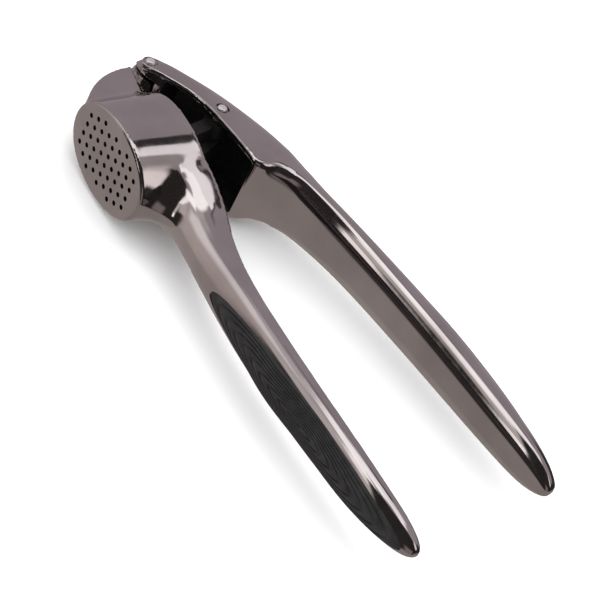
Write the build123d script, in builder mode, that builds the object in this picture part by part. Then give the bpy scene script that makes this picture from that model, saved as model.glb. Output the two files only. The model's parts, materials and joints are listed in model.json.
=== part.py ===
from build123d import *
import os

os.makedirs("parts", exist_ok=True)

# A hinged garlic press that lies on its side, with its two pins upright.
# It is drawn about the hinge: Z is the hinge axis, X runs along the lower handle
# and Y points from the lower handle to the upper one. The upper handle is drawn
# closed and then swung open, and the whole press is set on the floor at the end.

# Handles
rest_opening = 16.0  # degrees that the handles stand open at rest
lower_run = 145.0  # chamber centre to the end of the lower handle
upper_run = 167.5  # hinge axis to the end of the upper handle
neck_run = 60.0  # hinge axis to the upper handle's neck
lower_strip = 2.2  # flat side below the top edge of the lower handle
handle_edge = 0.8  # rounding along the inner edges of the upper handle

# Chamber
chamber_offset = 27.8  # hinge axis to the chamber centre
rim_drop = 4.9  # hinge axis down to the chamber rim
chamber_depth = 21.5  # rim to the outer face of the sieve
sieve_half_length = 18.9
sieve_half_width = 12.7
rim_flare_length = 1.7  # what the rim gains on the sieve at each end
rim_flare_width = 0.7  # what the rim gains on the sieve at each side
oval_fullness = 0.58
wall = 2.0
sieve_thickness = 2.0
sieve_edge = 0.7  # rounding round the sieve face
neck_fillet = 8.0  # hollow between the chamber and the handle

# Sieve holes
hole_diameter = 1.5
hole_pitch = 3.3  # along a row
row_pitch = 3.2  # from row to row
row_counts = (4, 5, 6, 5, 6, 5, 6, 5, 4)

# Nose and hinge
nose_half_width = 6.0
nose_front = 1.1  # nose front ahead of the hinge axis
nose_inset = 1.6  # foot of the nose inside the sieve's end
nose_foot = 0.8  # foot of the nose above the sieve face
nose_bulge = 2.9  # outward bow of the nose front
nose_shoulder = 5.2  # hinge axis down to the nose shoulder
shoulder_fall = 3.2  # slope of the shoulder towards the chamber
tongue_half_width = 4.6
tongue_radius = 3.8
tongue_gap = 0.25  # side clearance of the tongue in its slot
slot_gap = 0.5  # round clearance of the tongue in its slot

# Pins
pin_diameter = 3.0
pin_seat = 0.02  # radial fit of a pin in the upper handle
pin_running = 0.06  # radial clearance of a pin where a piece turns on it
pin_dome = 0.7
recess_diameter = 4.6  # spot face round a pin head
recess_depth = 0.4
pin_stand = 0.6  # pin head beyond the cheek
plunger_pin_inset = 0.3  # the cheek falls in by this much at the plunger pin

# Upper head
plunger_pin_run = 24.7  # hinge axis to the plunger pin, along the closed handle
plunger_pin_rise = 4.0  # hinge axis up to the plunger pin
cheek = 1.8
roof = 2.6
pocket_start = 7.5  # hinge axis to the front wall of the pocket
pocket_end = 44.0  # hinge axis to the back wall of the pocket

# Plunger
piston_gap_length = 1.9  # piston inside the chamber, at each end
piston_gap_width = 0.6  # piston inside the chamber, at each side
piston_height = 4.0
piston_edge = 0.6
sieve_gap = 0.5  # closed piston above the sieve
plunger_lag = 0.4  # degrees that the plunger turns back on its pin for each degree of opening
barrel_radius = 3.6
barrel_gap = 2.2  # barrel end to the cheek
web_half_width = 2.0
web_foot = 20.0
rib_half_length = 2.0
rib_half_width = 6.5

# Rubber inlays
inlay_depth = 1.8
inlay_side = 0.5  # seat of an inlay drawn in from the side of the handle
inlay_gap = 0.05
lower_inlay_start = 50.3  # chamber centre to the lower inlay
lower_inlay_end = 142.5
lower_inlay_half_width = 6.2
upper_inlay_start = 74.0  # hinge axis to the upper inlay
upper_inlay_end = 163.0
upper_inlay_half_width = 6.0

rim = -rim_drop
trim = 6.0  # height that is cast above the rim and then cut away
upper_trim = 8.0  # depth that is cast below the hinge and then cut away
spare = 20.0  # reach of a cut past the metal
sieve = rim - chamber_depth
sieve_floor = sieve + sieve_thickness
rim_half_length = sieve_half_length + rim_flare_length
rim_half_width = sieve_half_width + rim_flare_width
pin_radius = pin_diameter / 2

# Lower handle sections: share of its run, drop of the top edge below the rim,
# thickness, half width.
lower_sections = (
    (0.050, 0.0, 14.2, 8.4),
    (0.140, 0.0, 14.2, 9.6),
    (0.200, 1.0, 13.1, 7.9),
    (0.260, 3.4, 11.3, 7.3),
    (0.325, 5.7, 9.4, 7.5),
    (0.400, 7.1, 8.2, 8.0),
    (0.510, 7.3, 8.1, 8.3),
    (0.645, 6.7, 7.8, 8.2),
    (0.775, 5.3, 7.6, 7.6),
    (0.870, 4.1, 7.3, 6.6),
    (0.940, 2.5, 6.9, 5.0),
    (0.980, 1.75, 5.6, 3.1),
    (1.000, 2.2, 3.0, 1.5),
)

# Upper handle sections: run from the hinge, where the rounding of the outer side starts,
# outer crown, half width. The grip part is given as a share of the run past the neck.
head_sections = (
    (-4.2, 1.2, 3.0, 4.6),
    (-2.6, 1.6, 4.8, 6.6),
    (0.5, 2.0, 6.8, 8.4),
    (7.0, 3.0, 9.6, 9.5),
    (16.0, 3.8, 13.0, 10.5),
    (28.0, 5.0, 15.8, 11.2),
    (38.0, 6.4, 16.8, 11.5),
    (47.0, 7.8, 16.8, 11.0),
)
grip_sections = (
    (0.000, 9.0, 15.8, 9.5),
    (0.115, 9.7, 15.5, 8.9),
    (0.235, 8.9, 15.2, 8.5),
    (0.355, 7.4, 14.8, 8.3),
    (0.485, 5.95, 13.8, 8.1),
    (0.615, 4.05, 11.8, 7.8),
    (0.745, 1.9, 9.0, 7.3),
    (0.855, 0.05, 5.8, 6.7),
    (0.917, -1.0, 3.7, 5.9),
    (0.963, -1.6, 1.9, 4.3),
    (0.988, -1.8, 0.5, 2.6),
    (1.000, -2.0, -0.6, 1.4),
)

# Inner line of the upper handle: the edge of the cheeks, and the face under the grip
cheek_line = (
    (-4.2, -0.6),
    (-2.2, -2.2),
    (0.8, -2.7),
    (5.5, -2.0),
    (11.5, -0.4),
    (19.0, 0.6),
    (28.0, -0.1),
    (37.0, -1.4),
    (43.0, -2.3),
)
corner_line = (
    (45.4, -2.3),
    (47.2, -0.7),
    (50.0, 2.6),
    (54.0, 5.7),
)
grip_line = (
    (0.000, 7.2),
    (0.115, 7.4),
    (0.235, 6.7),
    (0.355, 5.5),
    (0.485, 3.95),
    (0.615, 2.05),
    (0.745, -0.1),
    (0.855, -1.8),
    (0.930, -3.2),
    (1.000, -4.2),
)


def crown_section(along, waist, crown, base, half_width):
    turn = 0 if crown > waist else 180
    with BuildSketch(Plane.YZ.offset(along)) as section:
        with BuildLine():
            EllipticalCenterArc((waist, 0), abs(crown - waist), half_width, turn - 90, arc_size=180)
            Polyline((waist, half_width), (base, half_width), (base, -half_width), (waist, -half_width))
        make_face()
    return section.sketch


def lower_section_faces(depth, side):
    faces = []
    for share, drop, thickness, half_width in lower_sections:
        along = chamber_offset + share * lower_run
        top = rim - drop
        waist = top - min(lower_strip, thickness / 2)
        crown = top - thickness
        faces.append(crown_section(along, waist + depth, crown + depth, rim + trim, half_width - side))
    return faces


def past_neck(share):
    return neck_run + share * (upper_run - neck_run)


def upper_section_faces():
    faces = []
    for along, waist, crown, half_width in head_sections:
        faces.append(crown_section(along, waist, crown, -upper_trim, half_width))
    return faces + grip_section_faces(0, 0)


def grip_section_faces(depth, side):
    faces = []
    for share, waist, crown, half_width in grip_sections:
        along = past_neck(share)
        faces.append(crown_section(along, waist - depth, crown - depth, -upper_trim, half_width - side))
    return faces


def head_at(along, column):
    for near, far in zip(head_sections, head_sections[1:]):
        if near[0] <= along <= far[0]:
            share = (along - near[0]) / (far[0] - near[0])
            return near[column] + share * (far[column] - near[column])
    return head_sections[-1][column]


def pocket_faces():
    faces = []
    stops = 4
    for stop in range(stops):
        along = pocket_start + stop / (stops - 1) * (pocket_end - pocket_start)
        half_width = head_at(along, 3) - cheek
        faces.append(crown_section(along, head_at(along, 1), head_at(along, 2) - roof, -spare, half_width))
    return faces


def oval(height, half_length, half_width):
    plane = Plane(origin=(0, height, 0), x_dir=(1, 0, 0), z_dir=(0, 1, 0))
    return oval_at(plane, chamber_offset, half_length, half_width)


def oval_at(plane, centre, half_length, half_width):
    near = centre - half_length
    far = centre + half_length
    near_pull = centre - half_length * oval_fullness
    far_pull = centre + half_length * oval_fullness
    pull = half_width * oval_fullness
    with BuildSketch(plane) as outline:
        with BuildLine():
            Bezier((far, 0), (far, pull), (far_pull, half_width), (centre, half_width))
            Bezier((centre, half_width), (near_pull, half_width), (near, pull), (near, 0))
            Bezier((near, 0), (near, -pull), (near_pull, -half_width), (centre, -half_width))
            Bezier((centre, -half_width), (far_pull, -half_width), (far, -pull), (far, 0))
        make_face()
    return outline.sketch


def chamber_oval(above_sieve, inset_length, inset_width):
    share = above_sieve / chamber_depth
    half_length = sieve_half_length + rim_flare_length * share - inset_length
    half_width = sieve_half_width + rim_flare_width * share - inset_width
    return oval(sieve + above_sieve, half_length, half_width)


def inlay(bar, seat_faces, start, end, half_width, facing):
    centre = (start + end) / 2
    plane = Plane(origin=(0, -facing * upper_trim, 0), x_dir=(1, 0, 0), z_dir=(0, facing, 0))
    with BuildPart() as skin:
        add(bar.part)
        extrude(oval_at(plane, centre, centre - start, half_width), amount=2 * spare, mode=Mode.INTERSECT)
        loft(seat_faces, mode=Mode.SUBTRACT)
    return skin.part


def lower_inlay(gap):
    return inlay(
        lower_bar,
        lower_section_faces(inlay_depth - gap, inlay_side),
        chamber_offset + lower_inlay_start + gap,
        chamber_offset + lower_inlay_end - gap,
        lower_inlay_half_width - gap,
        -1,
    )


def upper_inlay(gap):
    return inlay(
        upper_bar,
        grip_section_faces(inlay_depth - gap, inlay_side),
        upper_inlay_start + gap,
        upper_inlay_end - gap,
        upper_inlay_half_width - gap,
        1,
    )


def pin(run, rise, half_length):
    with BuildPart() as rivet:
        with BuildSketch():
            with Locations((run, rise)):
                Circle(pin_radius)
        extrude(amount=half_length, both=True)
        fillet(rivet.edges().filter_by(GeomType.CIRCLE), pin_dome)
    return rivet.part


under_grip = tuple((past_neck(share), rise) for share, rise in grip_line)

# Bodies of the two handles, before anything is cut into them
with BuildPart() as lower_bar:
    loft(lower_section_faces(0, 0))

with BuildPart() as upper_bar:
    loft(upper_section_faces())
    with BuildSketch():
        with BuildLine():
            Polyline((-spare, -2 * spare), (-spare, cheek_line[0][1]), cheek_line[0])
            Spline(cheek_line + corner_line + under_grip)
            Polyline(
                under_grip[-1],
                (upper_run + spare, under_grip[-1][1]),
                (upper_run + spare, -2 * spare),
                (-spare, -2 * spare),
            )
        make_face()
    extrude(amount=spare, both=True, mode=Mode.SUBTRACT)
    fillet(upper_bar.edges(Select.NEW), handle_edge)

# Lower handle: chamber, handle, nose and tongue in one casting
nose_root = (chamber_offset - sieve_half_length + nose_inset, sieve + nose_foot)
nose_top = (-nose_front, -nose_shoulder)
top_line = [(chamber_offset + share * lower_run, rim - drop) for share, drop, _, _ in lower_sections[1:]]
chamber_back = chamber_offset + rim_half_length
inner_front = chamber_offset - rim_half_length + wall
nose_back = chamber_offset - sieve_half_length / 2
shoulder_end = (nose_back, -nose_shoulder - shoulder_fall)

with BuildPart() as lower_handle:
    loft([chamber_oval(0, 0, 0), chamber_oval(chamber_depth + trim, 0, 0)])
    fillet(lower_handle.edges().group_by(Axis.Y)[0], sieve_edge)
    add(lower_bar.part)
    seam = lower_handle.edges(Select.NEW).filter_by(lambda edge: edge.center().X < chamber_back)
    fillet(seam, neck_fillet)
    with BuildSketch():
        with BuildLine():
            Polyline((-spare, rim + trim + spare), (-spare, rim), top_line[0])
            Spline(top_line, tangents=[(1, 0), (1, 0)])
            Polyline(
                top_line[-1],
                (top_line[-1][0] + spare, top_line[-1][1]),
                (top_line[-1][0] + spare, rim + trim + spare),
                (-spare, rim + trim + spare),
            )
        make_face()
    extrude(amount=rim_half_width + spare, both=True, mode=Mode.SUBTRACT)
    with BuildSketch():
        with BuildLine():
            SagittaArc(nose_root, nose_top, nose_bulge)
            Polyline(nose_top, shoulder_end, (nose_back, nose_root[1]), nose_root)
        make_face()
    extrude(amount=nose_half_width, both=True)
    with BuildSketch():
        Circle(tongue_radius)
        Polygon(nose_top, (inner_front, rim), (inner_front, shoulder_end[1]), align=None)
        make_hull()
    extrude(amount=tongue_half_width, both=True)
    loft(
        [chamber_oval(sieve_thickness, wall, wall), chamber_oval(chamber_depth + trim, wall, wall)],
        mode=Mode.SUBTRACT,
    )
    with BuildSketch(Plane(origin=(chamber_offset, sieve, 0), x_dir=(1, 0, 0), z_dir=(0, 1, 0))):
        for row, count in enumerate(row_counts):
            along = (row - (len(row_counts) - 1) / 2) * row_pitch
            with Locations((along, 0)):
                with GridLocations(hole_pitch, hole_pitch, 1, count):
                    Circle(hole_diameter / 2)
    extrude(amount=sieve_thickness, mode=Mode.SUBTRACT)
    with BuildSketch():
        Circle(pin_radius + pin_running)
    extrude(amount=tongue_half_width, both=True, mode=Mode.SUBTRACT)
    add(lower_inlay(0), mode=Mode.SUBTRACT)

# Upper handle: channel head with a pocket for the plunger, a fork round the tongue, and the handle
hinge_pin_half = head_at(0, 3) + pin_stand
plunger_pin_half = head_at(plunger_pin_run, 3) - plunger_pin_inset + pin_stand
slot_radius = tongue_radius + slot_gap
slot_back = inner_front + slot_gap

with BuildPart() as upper_handle:
    add(upper_bar.part)
    loft(pocket_faces(), mode=Mode.SUBTRACT)
    with BuildSketch():
        Circle(slot_radius)
        Polygon(
            (-spare, slot_radius),
            (-spare, -spare),
            (slot_back, -spare),
            (slot_back, rim + slot_gap),
            align=None,
        )
        make_hull()
    extrude(amount=tongue_half_width + tongue_gap, both=True, mode=Mode.SUBTRACT)
    with BuildSketch():
        with Locations((0, 0), (plunger_pin_run, plunger_pin_rise)):
            Circle(pin_radius + pin_seat)
    extrude(amount=spare, both=True, mode=Mode.SUBTRACT)
    for run, rise, half in ((0, 0, hinge_pin_half), (plunger_pin_run, plunger_pin_rise, plunger_pin_half)):
        for side in (1, -1):
            with BuildSketch(Plane.XY.offset(side * (half - pin_stand - recess_depth))):
                with Locations((run, rise)):
                    Circle(recess_diameter / 2)
            extrude(amount=side * spare, mode=Mode.SUBTRACT)
    add(upper_inlay(0), mode=Mode.SUBTRACT)

# Plunger: oval piston, web with a cross rib, and a barrel that hangs on the plunger pin
piston_foot = sieve_thickness + sieve_gap
piston_top = sieve + piston_foot + piston_height
barrel_half = head_at(plunger_pin_run, 3) - cheek - barrel_gap

with BuildPart() as plunger:
    base = chamber_oval(piston_foot, wall + piston_gap_length, wall + piston_gap_width)
    extrude(base, amount=piston_height)
    fillet(plunger.edges().group_by(Axis.Y)[0], piston_edge)
    fillet(plunger.edges().group_by(Axis.Y)[-1], piston_edge)
    with BuildSketch():
        with Locations((plunger_pin_run, plunger_pin_rise)):
            Circle(barrel_radius)
        with Locations((chamber_offset, piston_top - piston_edge)):
            Rectangle(web_foot, piston_edge)
        make_hull()
    extrude(amount=web_half_width, both=True)
    with BuildSketch():
        Polygon(
            (chamber_offset - rib_half_length, piston_top - piston_edge),
            (chamber_offset + rib_half_length, piston_top - piston_edge),
            (plunger_pin_run + rib_half_length, plunger_pin_rise),
            (plunger_pin_run - rib_half_length, plunger_pin_rise),
            align=None,
        )
    extrude(amount=rib_half_width, both=True)
    with BuildSketch():
        with Locations((plunger_pin_run, plunger_pin_rise)):
            Circle(barrel_radius)
    extrude(amount=barrel_half, both=True)
    with BuildSketch():
        with Locations((plunger_pin_run, plunger_pin_rise)):
            Circle(pin_radius + pin_running)
    extrude(amount=spare, both=True, mode=Mode.SUBTRACT)

# Pins
with BuildPart() as hinge_pin:
    add(pin(0, 0, hinge_pin_half))

with BuildPart() as plunger_pin:
    add(pin(plunger_pin_run, plunger_pin_rise, plunger_pin_half))

# Rubber inlays
with BuildPart() as lower_grip:
    add(lower_inlay(inlay_gap))

with BuildPart() as upper_grip:
    add(upper_inlay(inlay_gap))

# The plunger hangs back on its pin, and the upper half swings open
plunger_axis = Axis((plunger_pin_run, plunger_pin_rise, 0), (0, 0, 1))
plunger.part = plunger.part.rotate(plunger_axis, -plunger_lag * rest_opening)
for piece in (upper_handle, plunger, hinge_pin, plunger_pin, upper_grip):
    piece.part = piece.part.rotate(Axis.Z, rest_opening)

pieces = {
    "lower_handle": lower_handle,
    "upper_handle": upper_handle,
    "plunger": plunger,
    "hinge_pin": hinge_pin,
    "plunger_pin": plunger_pin,
    "lower_grip": lower_grip,
    "upper_grip": upper_grip,
}

# The origin goes to the middle of the press, on the surface that it lies on
box = Compound([piece.part for piece in pieces.values()]).bounding_box()
shift = Vector(-box.center().X, -box.center().Y, -box.min.Z)
hinge_place = shift
plunger_place = shift + Vector(plunger_pin_run, plunger_pin_rise, 0).rotate(Axis.Z, rest_opening)
print("hinge at", hinge_place, "plunger pin at", plunger_place)
print("overall size", box.size)

for name, piece in pieces.items():
    piece.part = piece.part.translate(shift)
    piece.part.label = name
    print(name, round(piece.part.volume, 1), piece.part.is_valid, len(piece.part.solids()))
    export_step(piece.part, f"parts/{name}.step")
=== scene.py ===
import json
import math

import bmesh
import bpy
from mathutils import Matrix, Vector
from mathutils.bvhtree import BVHTree

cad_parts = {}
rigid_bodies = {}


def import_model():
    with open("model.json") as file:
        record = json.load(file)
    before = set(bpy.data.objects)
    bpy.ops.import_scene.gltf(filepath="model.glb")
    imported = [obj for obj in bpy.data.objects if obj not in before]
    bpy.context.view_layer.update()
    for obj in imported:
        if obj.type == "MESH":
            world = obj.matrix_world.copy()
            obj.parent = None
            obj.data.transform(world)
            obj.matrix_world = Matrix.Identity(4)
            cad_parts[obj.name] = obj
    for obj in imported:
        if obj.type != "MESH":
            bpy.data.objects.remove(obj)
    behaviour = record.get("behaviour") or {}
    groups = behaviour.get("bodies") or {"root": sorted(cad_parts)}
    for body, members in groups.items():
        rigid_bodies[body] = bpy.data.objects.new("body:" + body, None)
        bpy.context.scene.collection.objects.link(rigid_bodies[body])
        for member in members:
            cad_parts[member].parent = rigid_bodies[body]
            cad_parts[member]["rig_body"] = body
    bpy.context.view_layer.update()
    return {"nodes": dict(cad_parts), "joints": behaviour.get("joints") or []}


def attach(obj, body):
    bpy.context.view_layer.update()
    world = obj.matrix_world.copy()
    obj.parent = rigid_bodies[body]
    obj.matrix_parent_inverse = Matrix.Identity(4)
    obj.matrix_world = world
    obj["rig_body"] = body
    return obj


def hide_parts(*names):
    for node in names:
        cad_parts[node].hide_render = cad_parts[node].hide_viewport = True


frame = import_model()
scene = bpy.context.scene
hinge = Vector(frame["joints"][0]["pos_m"])  # middle of the hinge pin
mm = 0.001
print("frame loaded")


# Small helpers for modelling by operators
def selectOnly(piece):
    bpy.ops.object.select_all(action="DESELECT")
    piece.select_set(True)
    bpy.context.view_layer.objects.active = piece


def applyModifier(piece, kind, **settings):
    selectOnly(piece)
    modifier = piece.modifiers.new(kind.lower(), kind)
    for name, value in settings.items():
        setattr(modifier, name, value)
    bpy.ops.object.modifier_apply(modifier=modifier.name)


def setMaterial(piece, material):
    piece.data.materials.clear()
    piece.data.materials.append(material)


def standFor(piece, node):
    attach(piece, frame["nodes"][node]["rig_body"])
    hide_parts(node)


# Small helpers for materials
def newMaterial(name):
    material = bpy.data.materials.new(name)
    material.use_nodes = True
    return material, material.node_tree.nodes["Principled BSDF"]


def addNode(owner, kind, links=None, **settings):
    tree = owner.node_tree
    node = tree.nodes.new(kind)
    for name, value in settings.items():
        setattr(node, name, value)
    for socket, source in (links or {}).items():
        if isinstance(source, bpy.types.NodeSocket):
            tree.links.new(source, node.inputs[socket])
        else:
            node.inputs[socket].default_value = source
    return node


def feed(owner, shader, socket, source):
    owner.node_tree.links.new(source, shader.inputs[socket])


def noise(owner, scale, detail=4.0, stretch=(1, 1, 1)):
    place = addNode(owner, "ShaderNodeTexCoord")
    mapped = addNode(owner, "ShaderNodeMapping", {"Vector": place.outputs["Object"], "Scale": stretch})
    cloud = addNode(
        owner,
        "ShaderNodeTexNoise",
        {"Vector": mapped.outputs["Vector"], "Scale": scale, "Detail": detail},
    )
    return cloud.outputs["Fac"]


def spread(owner, value, low, high, outLow, outHigh):
    ramp = addNode(
        owner,
        "ShaderNodeMapRange",
        {"Value": value, "From Min": low, "From Max": high, "To Min": outLow, "To Max": outHigh},
    )
    return ramp.outputs["Result"]


def tones(owner, factor, dark, light):
    mix = addNode(owner, "ShaderNodeMix", {"Factor": factor}, data_type="RGBA")
    mix.inputs["A"].default_value = (*dark, 1)
    mix.inputs["B"].default_value = (*light, 1)
    return mix.outputs["Result"]


def roughen(owner, shader, height, strength, distance):
    bump = addNode(
        owner,
        "ShaderNodeBump",
        {"Height": height, "Strength": strength, "Distance": distance},
    )
    feed(owner, shader, "Normal", bump.outputs["Normal"])


# Dark nickel plate over a polished casting
plate = {
    "dark": (0.45, 0.42, 0.425),
    "light": (0.53, 0.50, 0.505),
    "roughness": (0.05, 0.10),
    "cloudScale": 55.0,
    "cloudRange": (0.35, 0.65),
    "smearScale": 180.0,
    "smearRange": (0.35, 0.7),
    "peelScale": 420.0,
    "peelDetail": 2.0,
    "peelStrength": 0.02,
    "peelHeight": 0.0002,
}


def nickelPlate():
    material, shader = newMaterial("nickel_plate")
    clouds = noise(material, plate["cloudScale"])
    share = spread(material, clouds, *plate["cloudRange"], 0, 1)
    feed(material, shader, "Base Color", tones(material, share, plate["dark"], plate["light"]))
    smears = noise(material, plate["smearScale"])
    gloss = spread(material, smears, *plate["smearRange"], *plate["roughness"])
    feed(material, shader, "Roughness", gloss)
    shader.inputs["Metallic"].default_value = 1.0
    peel = noise(material, plate["peelScale"], plate["peelDetail"])
    roughen(material, shader, peel, plate["peelStrength"], plate["peelHeight"])
    return material


# Painted shade: a near-black colour for the inside of the upper head and the plunger, standing in for the
# shade they sit in
paintedShade = {
    "dark": (0.012, 0.011, 0.011),
    "light": (0.03, 0.028, 0.027),
    "roughness": 0.55,
    "metallic": 0.6,
    "grainScale": 900.0,
    "grainRange": (0.3, 0.7),
    "grainStrength": 0.15,
    "grainHeight": 0.0002,
}


def paintedShadeCasting():
    material, shader = newMaterial("painted_shade_casting")
    grain = noise(material, paintedShade["grainScale"])
    share = spread(material, grain, *paintedShade["grainRange"], 0, 1)
    feed(material, shader, "Base Color", tones(material, share, paintedShade["dark"], paintedShade["light"]))
    shader.inputs["Metallic"].default_value = paintedShade["metallic"]
    shader.inputs["Roughness"].default_value = paintedShade["roughness"]
    roughen(material, shader, grain, paintedShade["grainStrength"], paintedShade["grainHeight"])
    return material


# Bright steel of the two pins
brightSteel = {
    "dark": (0.86, 0.86, 0.87),
    "light": (0.97, 0.97, 0.97),
    "roughness": (0.34, 0.46),
    "markScale": 2500.0,
    "markDetail": 2.0,
    "markStretch": (1, 1, 0.1),
    "markRange": (0.3, 0.7),
}


def pinSteel():
    material, shader = newMaterial("pin_steel")
    marks = noise(material, brightSteel["markScale"], brightSteel["markDetail"], brightSteel["markStretch"])
    feed(material, shader, "Base Color", tones(material, marks, brightSteel["dark"], brightSteel["light"]))
    gloss = spread(material, marks, *brightSteel["markRange"], *brightSteel["roughness"])
    feed(material, shader, "Roughness", gloss)
    shader.inputs["Metallic"].default_value = 1.0
    return material


# Black rubber of the inlays
rubber = {
    "dark": (0.010, 0.010, 0.011),
    "light": (0.021, 0.020, 0.021),
    "roughness": (0.5, 0.66),
    "dustScale": 320.0,
    "dustTones": (0.35, 0.7),
    "dustGloss": (0.3, 0.7),
    "grainScale": 2600.0,
    "grainDetail": 2.0,
    "grainStrength": 0.12,
    "grainHeight": 0.0001,
}


def blackRubber():
    material, shader = newMaterial("black_rubber")
    dust = noise(material, rubber["dustScale"])
    share = spread(material, dust, *rubber["dustTones"], 0, 1)
    feed(material, shader, "Base Color", tones(material, share, rubber["dark"], rubber["light"]))
    gloss = spread(material, dust, *rubber["dustGloss"], *rubber["roughness"])
    feed(material, shader, "Roughness", gloss)
    grain = noise(material, rubber["grainScale"], rubber["grainDetail"])
    roughen(material, shader, grain, rubber["grainStrength"], rubber["grainHeight"])
    return material


platedSmooth = nickelPlate()
paintedShadeInside = paintedShadeCasting()
steel = pinSteel()
blackGrip = blackRubber()
# Painted shade: the plunger is coloured near black for the shade it sits in
setMaterial(frame["nodes"]["plunger"], paintedShadeInside)
for node in ("hinge_pin", "plunger_pin"):
    setMaterial(frame["nodes"][node], steel)
print("finishes set")


# Castings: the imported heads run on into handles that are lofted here, under one even skin,
# so that the plate mirrors cleanly
casting = {
    "weld": 1e-6,
    "skin": 0.42 * mm,
    "smoothing": 0.5,
    "polish": 5,  # rounds of smoothing all over
    "neckPolish": 130,  # rounds away from the sharp edges and the loft
    "sharp": math.radians(28),
    "edgeSteps": 3,  # rings of points beside a sharp edge that stay as they are
    "fairReach": 0.15 * mm,
    "fairRun": 6.0,  # mm over which the loft's normals fade in
    "softRun": 4.5,  # mm over which sharp edges soften
    "crease": math.radians(50),
    "ringPoints": 64,
}


def barAxis(shape):
    return Matrix.Rotation(math.radians(shape["turn"]), 3, "Z") @ Vector((1, 0, 0))


def copyNode(node, name):
    selectOnly(frame["nodes"][node])
    bpy.ops.object.duplicate()
    piece = bpy.context.object
    piece.name = name
    piece.parent = None
    for mark in [key for key in piece.keys() if key.startswith("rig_")]:
        del piece[mark]
    bpy.ops.object.mode_set(mode="EDIT")
    bpy.ops.mesh.select_all(action="SELECT")
    bpy.ops.mesh.remove_doubles(threshold=casting["weld"])
    bpy.ops.object.mode_set(mode="OBJECT")
    return piece


def cutOff(piece, shape):
    along = barAxis(shape)
    place = hinge + along * shape["cut"] * mm
    selectOnly(piece)
    bpy.ops.object.mode_set(mode="EDIT")
    bpy.ops.mesh.select_all(action="SELECT")
    bpy.ops.mesh.bisect(plane_co=place, plane_no=along, clear_outer=True, use_fill=True)
    bpy.ops.object.mode_set(mode="OBJECT")


def placeByHinge(piece, turn):
    piece.location = hinge
    piece.rotation_euler = (0, 0, math.radians(turn))
    selectOnly(piece)
    bpy.ops.object.transform_apply(location=True, rotation=True, scale=True)


def bend(value, power):
    return math.copysign(abs(value) ** power, value)


def ringPoint(row, index):
    run, rounded, waist, flat, halfWidth, power = row
    angle = 2 * math.pi * index / casting["ringPoints"]
    across, height = math.cos(angle), math.sin(angle)
    if height >= 0:
        return Vector((run, waist + (rounded - waist) * height, halfWidth * across)) * mm
    rise = waist + (flat - waist) * abs(bend(height, power))
    return Vector((run, rise, halfWidth * bend(across, power))) * mm


def loftBar(shape):
    bpy.ops.object.select_all(action="DESELECT")
    bpy.ops.mesh.primitive_circle_add(vertices=casting["ringPoints"], radius=mm, fill_type="NGON")
    bar = bpy.context.object
    marks = bar.data.attributes.new("order", "INT", "POINT")
    for index in range(casting["ringPoints"]):
        marks.data[index].value = index
    bpy.ops.object.mode_set(mode="EDIT")
    bpy.ops.mesh.select_all(action="SELECT")
    for number, row in enumerate(shape["rows"]):
        if number:
            bpy.ops.mesh.extrude_region_move()
        ring = bmesh.from_edit_mesh(bar.data)
        order = ring.verts.layers.int["order"]
        for point in ring.verts:
            if point.select:
                point.co = ringPoint(row, point[order])
        bmesh.update_edit_mesh(bar.data)
    bpy.ops.mesh.select_all(action="SELECT")
    bpy.ops.mesh.normals_make_consistent(inside=False)
    bpy.ops.object.mode_set(mode="OBJECT")
    applyModifier(bar, "SUBSURF", levels=2, render_levels=2)
    placeByHinge(bar, shape["turn"])
    bpy.ops.object.shade_smooth()
    bpy.ops.object.duplicate()
    return bar, bpy.context.object  # the copy keeps the loft's own normals


def joinTo(piece, others):
    selectOnly(piece)
    for other in others:
        other.select_set(True)
    bpy.ops.object.join()


def evenSkin(piece, shape):
    applyModifier(piece, "REMESH", mode="VOXEL", voxel_size=casting["skin"])
    smooth = piece.vertex_groups.new(name="smooth")
    bpy.ops.object.mode_set(mode="EDIT")
    bpy.ops.mesh.select_mode(type="EDGE")
    bpy.ops.mesh.select_all(action="DESELECT")
    bpy.ops.mesh.edges_select_sharp(sharpness=casting["sharp"])
    for step in range(casting["edgeSteps"]):
        bpy.ops.mesh.select_more()
    bpy.ops.mesh.select_all(action="INVERT")
    bpy.ops.object.vertex_group_assign()
    bpy.ops.mesh.select_mode(type="VERT")
    bpy.ops.object.mode_set(mode="OBJECT")
    along = barAxis(shape)
    runs = [along.dot(point.co - hinge) / mm for point in piece.data.vertices]
    for index, place in enumerate(runs):
        if shape["blend"] < place < shape["even"]:  # edges soften on the way to the loft
            smooth.add([index], min(1, (place - shape["blend"]) / casting["softRun"]), "REPLACE")
    smooth.remove([index for index, place in enumerate(runs) if place > shape["even"]])
    factor = casting["smoothing"]
    applyModifier(piece, "SMOOTH", iterations=casting["neckPolish"], factor=factor, vertex_group="smooth")
    applyModifier(piece, "SMOOTH", iterations=casting["polish"], factor=factor)


def fairBar(piece, guide, shape):
    # the lofted handle lends its own normals to the skin over it
    along = barAxis(shape)
    tree = BVHTree.FromObject(guide, bpy.context.evaluated_depsgraph_get())
    group = piece.vertex_groups.new(name="bar")
    for point in piece.data.vertices:
        past = along.dot(point.co - hinge) / mm - shape["fair"]
        if past > 0 and tree.find_nearest(point.co)[3] < casting["fairReach"]:
            group.add([point.index], min(1, past / casting["fairRun"]), "REPLACE")
    applyModifier(
        piece,
        "DATA_TRANSFER",
        object=guide,
        use_loop_data=True,
        data_types_loops={"CUSTOM_NORMAL"},
        loop_mapping="POLYINTERP_NEAREST",
        vertex_group="bar",
    )
    bpy.data.objects.remove(guide)


def carve(piece, tool):
    applyModifier(piece, "BOOLEAN", object=tool, operation="DIFFERENCE", solver="EXACT")
    bpy.data.objects.remove(tool)


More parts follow.
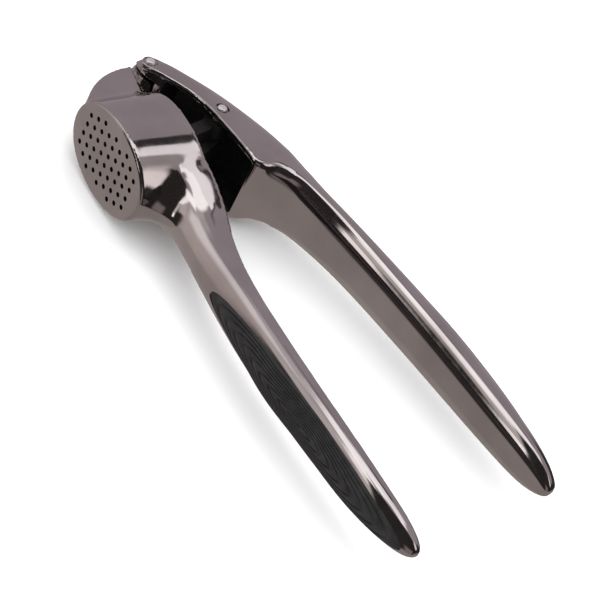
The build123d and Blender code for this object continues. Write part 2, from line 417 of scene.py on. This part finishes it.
# Sieve: the holes are drilled after the skin, in rows along the press
sieve = {
    "middle": (27.8, -26.4),  # mm from the hinge
    "plate": 2.0,
    "fill": (17.4, 11.0),  # half length and half width of the drilled field
    "rows": (4, 5, 6, 5, 6, 5, 6, 5, 4),
    "rowPitch": 3.2,
    "pitch": 3.3,
    "drill": 0.75,
    "sides": 32,
    "fillSides": 96,
    "drillReach": 3,  # length of a drill, in plates
}


def makeSieveFill():
    run, rise = sieve["middle"]
    bpy.ops.object.select_all(action="DESELECT")
    bpy.ops.mesh.primitive_cylinder_add(
        vertices=sieve["fillSides"],
        radius=mm,
        depth=sieve["plate"] * mm,
        location=hinge + Vector((run, rise + sieve["plate"] / 2, 0)) * mm,
        rotation=(math.pi / 2, 0, 0),
    )
    fill = bpy.context.object
    fill.scale = (sieve["fill"][0], sieve["fill"][1], 1)
    bpy.ops.object.transform_apply(location=True, rotation=True, scale=True)
    return fill


def makeDrills():
    run, rise = sieve["middle"]
    drills = []
    for row, count in enumerate(sieve["rows"]):
        along = run + (row - (len(sieve["rows"]) - 1) / 2) * sieve["rowPitch"]
        for hole in range(count):
            across = (hole - (count - 1) / 2) * sieve["pitch"]
            bpy.ops.object.select_all(action="DESELECT")
            bpy.ops.mesh.primitive_cylinder_add(
                vertices=sieve["sides"],
                radius=sieve["drill"] * mm,
                depth=sieve["drillReach"] * sieve["plate"] * mm,
                location=hinge + Vector((along, rise, across)) * mm,
                rotation=(math.pi / 2, 0, 0),
            )
            bpy.ops.object.transform_apply(location=True, rotation=True, scale=True)
            drills.append(bpy.context.object)
    joinTo(drills[0], drills[1:])
    return drills[0]


# Pin seats: filled for the skin, then drilled with a clean spot face
pinSeat = {
    "radius": 1.53,
    "spot": 2.05,
    "spotDepth": 0.35,
    "fill": 2.5,
    "cheek": 1.6,
    "boreDepth": 3,  # in cheeks
    "outside": 2,  # how far a tool stands out beyond the cheek
    "stand": 0.6,
    "sides": 48,
}


def makeRods(radius, inner, outer):
    rods = []
    for node in ("hinge_pin", "plunger_pin"):
        places = [point.co for point in frame["nodes"][node].data.vertices]
        middle = sum(places, Vector()) / len(places)
        cheek = (max(place.z for place in places) - hinge.z) / mm - pinSeat["stand"]
        low, high = max(0, cheek + inner), cheek + outer
        for side in (-1, 1):
            bpy.ops.object.select_all(action="DESELECT")
            bpy.ops.mesh.primitive_cylinder_add(
                vertices=pinSeat["sides"],
                radius=radius * mm,
                depth=(high - low) * mm,
                location=(middle.x, middle.y, hinge.z + side * (low + high) / 2 * mm),
            )
            bpy.ops.object.transform_apply(location=True, rotation=True, scale=True)
            rods.append(bpy.context.object)
    joinTo(rods[0], rods[1:])
    return rods[0]


# Lower handle, from the hinge: run, rounded under side, waist, flat top, half width, squareness
lowerBar = {
    "turn": 0.0,
    "cut": 64.0,
    "blend": 67.0,  # the same as even, so its edges stay as they are
    "even": 67.0,  # from here on the loft needs no smoothing
    "fair": 60.0,  # from here on the loft lends its normals
    "rows": (
        (54.0, -19.2, -7.9, -5.6, 8.4, 0.25),
        (60.0, -19.3, -8.8, -6.6, 7.6, 0.25),
        (65.5, -19.6, -10.5, -8.3, 7.3, 0.25),
        (75.0, -20.0, -12.8, -10.6, 7.5, 0.25),
        (86.0, -20.2, -14.2, -12.0, 8.0, 0.25),
        (102.0, -20.3, -14.4, -12.2, 8.3, 0.25),
        (121.0, -19.4, -13.8, -11.6, 8.2, 0.25),
        (140.0, -17.8, -12.4, -10.2, 7.6, 0.25),
        (154.0, -16.3, -11.2, -9.0, 6.6, 0.27),
        (164.0, -14.3, -9.6, -7.4, 5.0, 0.3),
        (170.0, -12.25, -8.85, -6.65, 3.1, 0.4),
        (172.3, -10.4, -8.6, -7.1, 1.6, 0.5),
        (172.75, -9.6, -8.5, -7.5, 0.8, 0.5),
    ),
}

# Upper handle, closed: run, outer crown, waist, inner side, half width, squareness
upperBar = {
    "turn": 16.0,  # degrees that the handles stand open at rest
    "cut": 47.5,
    "blend": 44.3,  # from here on the edges run softly into the loft
    "even": 53.5,
    "fair": 46.5,
    "rows": (
        (44.6, 16.8, 7.5, -2.2, 11.1, 0.27),
        (47.0, 16.8, 7.8, -0.9, 11.0, 0.33),
        (50.5, 16.6, 8.15, 2.5, 10.6, 0.49),
        (55.0, 16.25, 8.6, 5.0, 10.05, 0.66),
        (60.0, 15.8, 9.0, 5.8, 9.5, 0.79),
        (72.0, 15.5, 9.7, 5.7, 8.9, 0.85),
        (85.0, 15.2, 8.9, 4.9, 8.5, 0.85),
        (98.0, 14.8, 7.4, 3.6, 8.3, 0.85),
        (112.0, 13.8, 5.95, 2.0, 8.1, 0.85),
        (126.0, 11.8, 4.05, 0.1, 7.8, 0.85),
        (140.0, 9.0, 1.9, -1.9, 7.3, 0.85),
        (152.0, 5.8, 0.05, -3.4, 6.7, 0.85),
        (158.5, 3.7, -1.0, -4.1, 5.9, 0.85),
        (163.5, 1.9, -1.6, -4.3, 4.3, 0.85),
        (166.2, 0.5, -1.9, -4.3, 2.6, 0.85),
        (167.4, -0.6, -2.1, -3.7, 1.4, 0.85),
    ),
}

# Painted shade: the inside of the upper head, seen from its middle, is coloured near black; run and rise
# from the hinge on the closed handle
pocket = {"middle": (26.0, 3.0), "reach": 45.0}


# Painted shade: faces turned into the pocket take the near-black painted-shade colour
def shadePocketFaces(piece):
    piece.data.materials.append(paintedShadeInside)
    turn = Matrix.Rotation(math.radians(-upperBar["turn"]), 3, "Z")
    middle = Vector((*pocket["middle"], 0)) * mm
    for face in piece.data.polygons:
        place = turn @ (face.center - hinge)
        inward = (turn @ face.normal).dot(place - middle) < 0
        if inward and 0 < place.x < pocket["reach"] * mm:
            face.material_index = 1


# Rubber inlays with oval contour grooves
inlay = {
    "points": 144,
    "fullness": 0.958,  # squares the oval a little
    "reach": 0.994,
    "grooves": 9,
    "grooveHalf": 0.02,  # half width of a groove, as a share of the oval
    "depth": 0.38 * mm,
    "thickness": 1.3 * mm,
    "seat": 1.7 * mm,
    "standOff": 6 * mm,
    "seatReach": 0.998,
    "rim": 0.965,  # inner edge of the low rim
    "middle": 0.5,  # plain middle, in groove pitches
    "floor": 1 / 3,  # flat floor of a groove, as a share of its width
    "crease": math.radians(40),
}


def ringShares():
    rings = [(1.0, True), (inlay["rim"], False)]  # share of the oval, and whether it lies low
    pitch = 1 / (inlay["grooves"] + inlay["middle"])
    half = inlay["grooveHalf"]
    floor = half * inlay["floor"]
    for groove in range(1, inlay["grooves"] + 1):
        share = 1 - groove * pitch
        rings += [(share + half, False), (share + floor, True)]
        rings += [(share - floor, True), (share - half, False)]
    return rings


def inlaySheet(node, name, turn, facing, reach):
    turned = Matrix.Rotation(math.radians(-turn), 3, "Z")
    corners = [turned @ (point.co - hinge) for point in frame["nodes"][node].data.vertices]
    start = min(corner.x for corner in corners)
    end = max(corner.x for corner in corners)
    side = max(corner.z for corner in corners)
    outside = max(facing * corner.y for corner in corners) + inlay["standOff"]
    bpy.ops.object.select_all(action="DESELECT")
    bpy.ops.mesh.primitive_circle_add(
        vertices=inlay["points"], radius=1, fill_type="NOTHING", rotation=(facing * math.pi / -2, 0, 0)
    )
    bpy.ops.object.transform_apply(location=False, rotation=True, scale=False)
    piece = bpy.context.object
    piece.name = name
    middle = Vector(((start + end) / 2, facing * outside, 0))
    for point in piece.data.vertices:
        x = bend(point.co.x, inlay["fullness"]) * (end - start) / 2
        z = bend(point.co.z, inlay["fullness"]) * side
        point.co = middle + Vector((x, 0, z)) * reach
    piece.vertex_groups.new(name="groove")
    bpy.ops.object.mode_set(mode="EDIT")
    bpy.ops.mesh.select_all(action="SELECT")
    before = 1.0
    for share, low in ringShares():
        if share < 1:
            bpy.ops.mesh.extrude_region_move()
            factor = share / before
            bpy.ops.transform.resize(value=(factor, 1, factor), center_override=middle)
        if low:
            bpy.ops.object.vertex_group_assign()
        else:
            bpy.ops.object.vertex_group_remove_from()
        before = share
    bpy.ops.mesh.edge_face_add()
    bpy.ops.object.mode_set(mode="OBJECT")
    piece.location = hinge
    piece.rotation_euler = (0, 0, math.radians(turn))
    applyModifier(
        piece,
        "SHRINKWRAP",
        target=frame["nodes"][node],
        wrap_method="PROJECT",
        use_project_y=True,
        use_positive_direction=facing < 0,
        use_negative_direction=facing > 0,
    )
    outward = sum(facing * face.normal.y * face.area for face in piece.data.polygons)
    if outward < 0:
        piece.data.flip_normals()
    return piece


def makeInlay(node, name, turn, facing):
    piece = inlaySheet(node, name, turn, facing, inlay["reach"])
    applyModifier(
        piece,
        "DISPLACE",
        direction="Y",
        strength=-facing * inlay["depth"],
        mid_level=0,
        vertex_group="groove",
    )
    applyModifier(piece, "SOLIDIFY", thickness=inlay["thickness"], offset=-1)
    placeByHinge(piece, turn)
    bpy.ops.object.shade_smooth_by_angle(angle=inlay["crease"])
    setMaterial(piece, blackGrip)
    standFor(piece, node)


def makeSeatTool(node, turn, facing):
    tool = inlaySheet(node, "seat_tool", turn, facing, inlay["seatReach"])
    applyModifier(tool, "SOLIDIFY", thickness=2 * inlay["seat"], offset=0)
    placeByHinge(tool, turn)
    return tool


def finishCasting(piece, guide, shape):
    selectOnly(piece)
    bpy.ops.object.shade_smooth_by_angle(angle=casting["crease"])
    fairBar(piece, guide, shape)
    setMaterial(piece, platedSmooth)


def makeLowerCasting():
    piece = copyNode("lower_handle", "lower_casting")
    cutOff(piece, lowerBar)
    bar, guide = loftBar(lowerBar)
    joinTo(piece, [bar, makeSieveFill()])
    evenSkin(piece, lowerBar)
    carve(piece, makeDrills())
    carve(piece, makeSeatTool("lower_grip", lowerBar["turn"], -1))
    finishCasting(piece, guide, lowerBar)
    standFor(piece, "lower_handle")


def makeUpperCasting():
    outside = pinSeat["outside"]
    piece = copyNode("upper_handle", "upper_casting")
    cutOff(piece, upperBar)
    plugs = makeRods(pinSeat["fill"], -pinSeat["cheek"], 0)
    bar, guide = loftBar(upperBar)
    joinTo(piece, [bar, plugs])
    evenSkin(piece, upperBar)
    carve(piece, makeRods(pinSeat["radius"], -pinSeat["boreDepth"] * pinSeat["cheek"], outside))
    carve(piece, makeRods(pinSeat["spot"], -pinSeat["spotDepth"], outside))
    carve(piece, makeSeatTool("upper_grip", upperBar["turn"], 1))
    finishCasting(piece, guide, upperBar)
    shadePocketFaces(piece)
    standFor(piece, "upper_handle")


makeLowerCasting()
makeUpperCasting()
print("castings skinned")
makeInlay("lower_grip", "lower_inlay", lowerBar["turn"], -1)
makeInlay("upper_grip", "upper_inlay", upperBar["turn"], 1)
print("inlays grooved")


# Camera of the photograph, placed from the hinge
view = {
    "fromHinge": (0.58576, -0.57236, 0.62835),
    "right": (0.46883, 0.80385, 0.36609),
    "up": (-0.72409, 0.11239, 0.68049),
    "lens": 220.43,
    "sensor": 36.0,
    "clipStart": 0.01,
}


def makeCamera():
    bpy.ops.object.camera_add()
    camera = bpy.context.object
    right = Vector(view["right"]).normalized()
    back = right.cross(Vector(view["up"])).normalized()
    turn = Matrix((right, back.cross(right), back)).transposed().to_4x4()
    camera.matrix_world = Matrix.Translation(hinge + Vector(view["fromHinge"])) @ turn
    camera.data.sensor_width = view["sensor"]
    camera.data.lens = view["lens"]
    camera.data.clip_start = view["clipStart"]
    scene.camera = camera


makeCamera()
print("camera placed")

# Studio: a pale floor under even daylight, and a tent of panels and dark cards for the plate to mirror
studio = {
    "floorSize": 6.0,
    "floorGap": 0.0003,
    "floorTone": (0.95, 0.95, 0.95, 1),
    "floorRoughness": 0.9,
    "daylight": 1.5,  # what the floor and the rubber see all round
    "tent": (0.415, 0.36, 0.38),
    "boxBearing": 135,
    "boxHeight": 72,
    "boxReach": 1.2,
    "boxSize": 0.8,
    "boxBrightness": 1.2,
}

# Panels: bearing, height, half width, half height and soft edge in degrees, lean, colour
panels = {
    "nearDark": (-32, 36, 91, 60, 3, 0, (0.03, 0.026, 0.025)),
    "under": (0, -66, 181, 44, 4, 0, (0.36, 0.315, 0.30)),
    "tableGlow": (-36, 2, 22, 22, 8, 0, (0.27, 0.22, 0.22)),
    "leftWall": (-155, -22, 31, 64, 3, 0, (0.42, 0.37, 0.345)),
    "leftMid": (-141, 18, 17, 26, 8, 0, (0.62, 0.53, 0.50)),
    "leftGlow": (-146, 46, 15, 11, 7, 0, (1.05, 0.98, 0.97)),
    "leftTop": (-150, 62, 30, 7, 5, 0, (0.66, 0.60, 0.60)),
    "overhead": (145, 74, 72, 8.5, 2.5, 0, (1.7, 1.65, 1.64)),
    "overheadFront": (112, 66, 29, 9, 1.2, 0, (1.35, 1.30, 1.32)),
    "rightWall": (73, 59, 18, 9, 3, 0, (0.46, 0.41, 0.40)),
    "rightPanel": (37, 42, 12, 14, 6, 0.9, (1.3, 1.2, 1.17)),
    "rightDark": (10, 22, 15, 21, 2, 0, (0.02, 0.018, 0.018)),
    "lip": (118, 54.3, 6.5, 3.4, 1.2, 0, (0.05, 0.045, 0.042)),
    "lipFar": (139, 57.6, 15, 1.4, 0.8, 0, (0.13, 0.12, 0.12)),
    "lowRight": (68, -2, 45, 27, 5, 0, (0.04, 0.036, 0.035)),
    "stripLow": (-98.3, 11, 3.5, 9, 1.5, 0, (1.65, 1.55, 1.5)),
    "stripMid": (-103, 33, 4.5, 12, 2.5, -0.35, (0.78, 0.72, 0.68)),
    "cardTop": (-118, 42, 8, 14, 4, 0, (0.7, 0.64, 0.62)),
    "stripHigh": (-117, 55, 6, 9, 2.5, -0.9, (1.6, 1.5, 1.45)),
    "leftCore": (-134, 66, 16, 5, 2.5, 0, (1.85, 1.78, 1.75)),
}


def compute(world, kind, first, second=0.0, third=0.0):
    return addNode(world, "ShaderNodeMath", {0: first, 1: second, 2: third}, operation=kind).outputs["Value"]


def inside(world, distance, half, soft):
    ramp = addNode(
        world,
        "ShaderNodeMapRange",
        {"Value": compute(world, "ABSOLUTE", distance), "From Min": half - soft, "From Max": half + soft},
        interpolation_type="SMOOTHSTEP",
    )
    return compute(world, "SUBTRACT", 1.0, ramp.outputs["Result"])


def hangPanel(world, before, turn, rise, panel):
    bearing, height, halfWidth, halfHeight, soft, lean, colour = panel
    updown = compute(world, "SUBTRACT", rise, height)
    leaning = compute(world, "MULTIPLY_ADD", updown, -lean, turn)
    across = compute(world, "WRAP", compute(world, "SUBTRACT", leaning, bearing), 180.0, -180.0)
    wide = inside(world, across, halfWidth, soft)
    tall = inside(world, updown, halfHeight, soft)
    share = compute(world, "MULTIPLY", wide, tall)
    mix = addNode(world, "ShaderNodeMix", data_type="RGBA")
    world.node_tree.links.new(share, mix.inputs["Factor"])
    world.node_tree.links.new(before, mix.inputs["A"])
    mix.inputs["B"].default_value = (*colour, 1)
    return mix.outputs["Result"]


def makeTent():
    world = bpy.data.worlds.new("tent")
    scene.world = world
    world.use_nodes = True
    place = addNode(world, "ShaderNodeTexCoord")
    axes = addNode(world, "ShaderNodeSeparateXYZ", {"Vector": place.outputs["Generated"]})
    turn = compute(world, "DEGREES", compute(world, "ARCTAN2", axes.outputs["Y"], axes.outputs["X"]))
    rise = compute(world, "DEGREES", compute(world, "ARCSINE", axes.outputs["Z"]))
    wall = addNode(world, "ShaderNodeRGB")
    wall.outputs["Color"].default_value = (*studio["tent"], 1)
    tent = wall.outputs["Color"]
    for panel in panels.values():
        tent = hangPanel(world, tent, turn, rise, panel)
    rays = addNode(world, "ShaderNodeLightPath")
    seen = addNode(world, "ShaderNodeMix", data_type="RGBA")
    world.node_tree.links.new(rays.outputs["Is Glossy Ray"], seen.inputs["Factor"])
    seen.inputs["A"].default_value = (studio["daylight"],) * 3 + (1,)
    world.node_tree.links.new(tent, seen.inputs["B"])
    background = world.node_tree.nodes["Background"]
    world.node_tree.links.new(seen.outputs["Result"], background.inputs["Color"])


def makeFloor():
    bpy.ops.mesh.primitive_plane_add(size=studio["floorSize"], location=(0, 0, -studio["floorGap"]))
    floor = bpy.context.object
    floor.name = "floor"
    floor.visible_glossy = False  # the plate mirrors the tent instead
    material, shader = newMaterial("pale_floor")
    shader.inputs["Base Color"].default_value = studio["floorTone"]
    shader.inputs["Roughness"].default_value = studio["floorRoughness"]
    setMaterial(floor, material)


def makeSoftbox():
    turn, rise = math.radians(studio["boxBearing"]), math.radians(studio["boxHeight"])
    away = Vector((math.cos(turn) * math.cos(rise), math.sin(turn) * math.cos(rise), math.sin(rise)))
    bpy.ops.object.light_add(type="AREA")
    light = bpy.context.object
    light.name = "softbox"
    light.rotation_euler = away.to_track_quat("Z", "Y").to_euler()
    light.location = away * studio["boxReach"]
    light.data.size = studio["boxSize"]
    light.data.energy = studio["boxBrightness"] * math.pi * studio["boxSize"] ** 2
    light.visible_camera = False
    light.visible_glossy = False


makeFloor()
makeTent()
makeSoftbox()
scene.view_settings.view_transform = "Standard"
print("studio lit")
